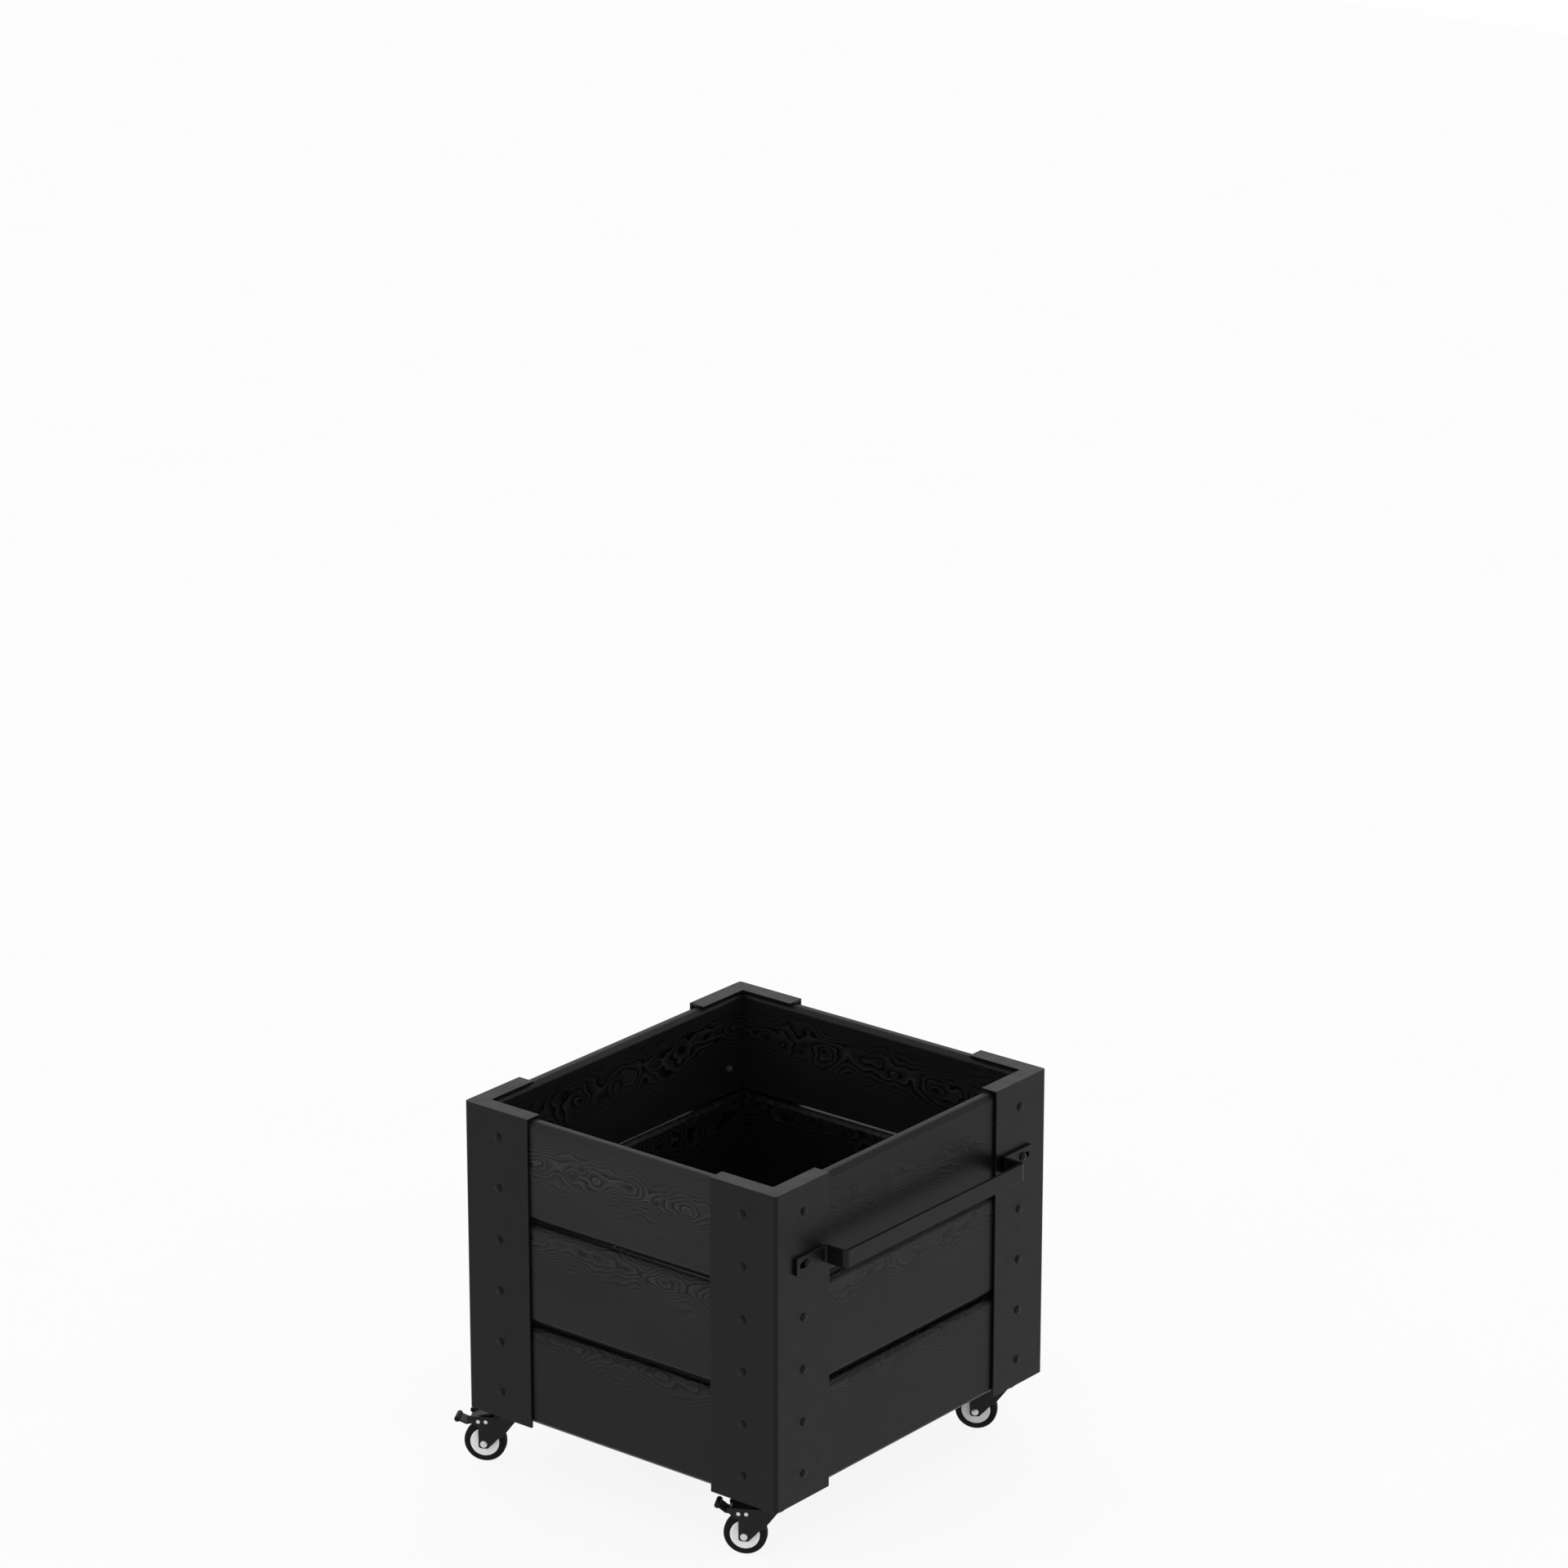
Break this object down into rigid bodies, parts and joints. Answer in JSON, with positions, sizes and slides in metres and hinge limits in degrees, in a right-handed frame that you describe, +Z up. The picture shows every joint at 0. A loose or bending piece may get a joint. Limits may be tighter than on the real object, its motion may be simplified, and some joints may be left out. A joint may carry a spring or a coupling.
{
  "type": "rolling planter",
  "caption": "Open square planter box of dark stained timber boards between folded steel corner posts, with flat bar side handles and swivelling braked casters.",
  "frame": {"origin": "on the ground, under the middle of the bounding box, which takes in the handles and the brake pedals", "axes": "+Z up, +X out of the wall that carries the handle seen in the picture, -Y out of the plain wall seen in the picture (front)"},
  "size_m": [0.63, 0.6092, 0.5455],
  "materials": {
    "frame_paint": "satin dark grey powder coat",
    "wall_timber": "dark grey stain over knotty softwood",
    "floor_timber": "dark grey stain over knotty softwood",
    "bolt_steel": "dark coated steel",
    "zinc_steel": "bright zinc plating",
    "caster_steel": "black coated pressed steel",
    "hub_nylon": "white moulded nylon",
    "tyre_rubber": "black rubber",
    "pedal_plastic": "black"
  },
  "bodies": {
    "planter_box": {"corner_post_front_left": "frame_paint", "corner_post_front_right": "frame_paint", "corner_post_back_right": "frame_paint", "corner_post_back_left": "frame_paint", "board_front_1": "wall_timber", "board_front_2": "wall_timber", "board_front_3": "wall_timber", "board_right_1": "wall_timber", "board_right_2": "wall_timber", "board_right_3": "wall_timber", "board_back_1": "wall_timber", "board_back_2": "wall_timber", "board_back_3": "wall_timber", "board_left_1": "wall_timber", "board_left_2": "wall_timber", "board_left_3": "wall_timber", "floor_bearer_left": "floor_timber", "floor_bearer_right": "floor_timber", "floor_slat_1": "floor_timber", "floor_slat_2": "floor_timber", "floor_slat_3": "floor_timber", "floor_slat_4": "floor_timber", "handle_right": "frame_paint", "handle_left": "frame_paint", "handle_bolt_front_left": "bolt_steel", "handle_bolt_front_right": "bolt_steel", "handle_bolt_back_right": "bolt_steel", "handle_bolt_back_left": "bolt_steel", "handle_nut_front_left": "zinc_steel", "handle_nut_front_right": "zinc_steel", "handle_nut_back_right": "zinc_steel", "handle_nut_back_left": "zinc_steel", "caster_plate_front_left": "caster_steel", "caster_plate_front_right": "caster_steel", "caster_plate_back_right": "caster_steel", "caster_plate_back_left": "caster_steel"},
    "swivel_front_left": {"caster_fork_front_left": "caster_steel", "brake_pivot_pin_front_left": "zinc_steel", "axle_front_left": "zinc_steel"},
    "wheel_front_left": {"wheel_hub_front_left": "hub_nylon", "tyre_front_left": "tyre_rubber"},
    "brake_front_left": {"brake_pedal_front_left": "pedal_plastic"},
    "swivel_front_right": {"caster_fork_front_right": "caster_steel", "brake_pivot_pin_front_right": "zinc_steel", "axle_front_right": "zinc_steel"},
    "wheel_front_right": {"wheel_hub_front_right": "hub_nylon", "tyre_front_right": "tyre_rubber"},
    "brake_front_right": {"brake_pedal_front_right": "pedal_plastic"},
    "swivel_back_right": {"caster_fork_back_right": "caster_steel", "brake_pivot_pin_back_right": "zinc_steel", "axle_back_right": "zinc_steel"},
    "wheel_back_right": {"wheel_hub_back_right": "hub_nylon", "tyre_back_right": "tyre_rubber"},
    "brake_back_right": {"brake_pedal_back_right": "pedal_plastic"},
    "swivel_back_left": {"caster_fork_back_left": "caster_steel", "brake_pivot_pin_back_left": "zinc_steel", "axle_back_left": "zinc_steel"},
    "wheel_back_left": {"wheel_hub_back_left": "hub_nylon", "tyre_back_left": "tyre_rubber"},
    "brake_back_left": {"brake_pedal_back_left": "pedal_plastic"}
  },
  "joints": [
    {"name": "swivel_front_left", "type": "hinge", "parent": "planter_box", "child": "swivel_front_left", "pos_m": [-0.235, -0.25539, 0.071], "axis": [0, 0, 1], "continuous": true},
    {"name": "wheel_spin_front_left", "type": "hinge", "parent": "swivel_front_left", "child": "wheel_front_left", "pos_m": [-0.266, -0.27329, 0.03], "axis": [-0.5, 0.866, 0], "continuous": true},
    {"name": "brake_press_front_left", "type": "hinge", "parent": "swivel_front_left", "child": "brake_front_left", "pos_m": [-0.27259, -0.27709, 0.0635], "axis": [0.5, -0.866, 0], "range_deg": [-16, 0]},
    {"name": "swivel_front_right", "type": "hinge", "parent": "planter_box", "child": "swivel_front_right", "pos_m": [0.235, -0.25539, 0.071], "axis": [0, 0, 1], "continuous": true},
    {"name": "wheel_spin_front_right", "type": "hinge", "parent": "swivel_front_right", "child": "wheel_front_right", "pos_m": [0.204, -0.27329, 0.03], "axis": [-0.5, 0.866, 0], "continuous": true},
    {"name": "brake_press_front_right", "type": "hinge", "parent": "swivel_front_right", "child": "brake_front_right", "pos_m": [0.19741, -0.27709, 0.0635], "axis": [0.5, -0.866, 0], "range_deg": [0, 16]},
    {"name": "swivel_back_right", "type": "hinge", "parent": "planter_box", "child": "swivel_back_right", "pos_m": [0.235, 0.26161, 0.071], "axis": [0, 0, 1], "continuous": true},
    {"name": "wheel_spin_back_right", "type": "hinge", "parent": "swivel_back_right", "child": "wheel_back_right", "pos_m": [0.204, 0.24371, 0.03], "axis": [-0.5, 0.866, 0], "continuous": true},
    {"name": "brake_press_back_right", "type": "hinge", "parent": "swivel_back_right", "child": "brake_back_right", "pos_m": [0.19741, 0.23991, 0.0635], "axis": [0.5, -0.866, 0], "range_deg": [0, 16]},
    {"name": "swivel_back_left", "type": "hinge", "parent": "planter_box", "child": "swivel_back_left", "pos_m": [-0.235, 0.26161, 0.071], "axis": [0, 0, 1], "continuous": true},
    {"name": "wheel_spin_back_left", "type": "hinge", "parent": "swivel_back_left", "child": "wheel_back_left", "pos_m": [-0.266, 0.24371, 0.03], "axis": [-0.5, 0.866, 0], "continuous": true},
    {"name": "brake_press_back_left", "type": "hinge", "parent": "swivel_back_left", "child": "brake_back_left", "pos_m": [-0.27259, 0.23991, 0.0635], "axis": [0.5, -0.866, 0], "range_deg": [0, 16]}
  ]
}
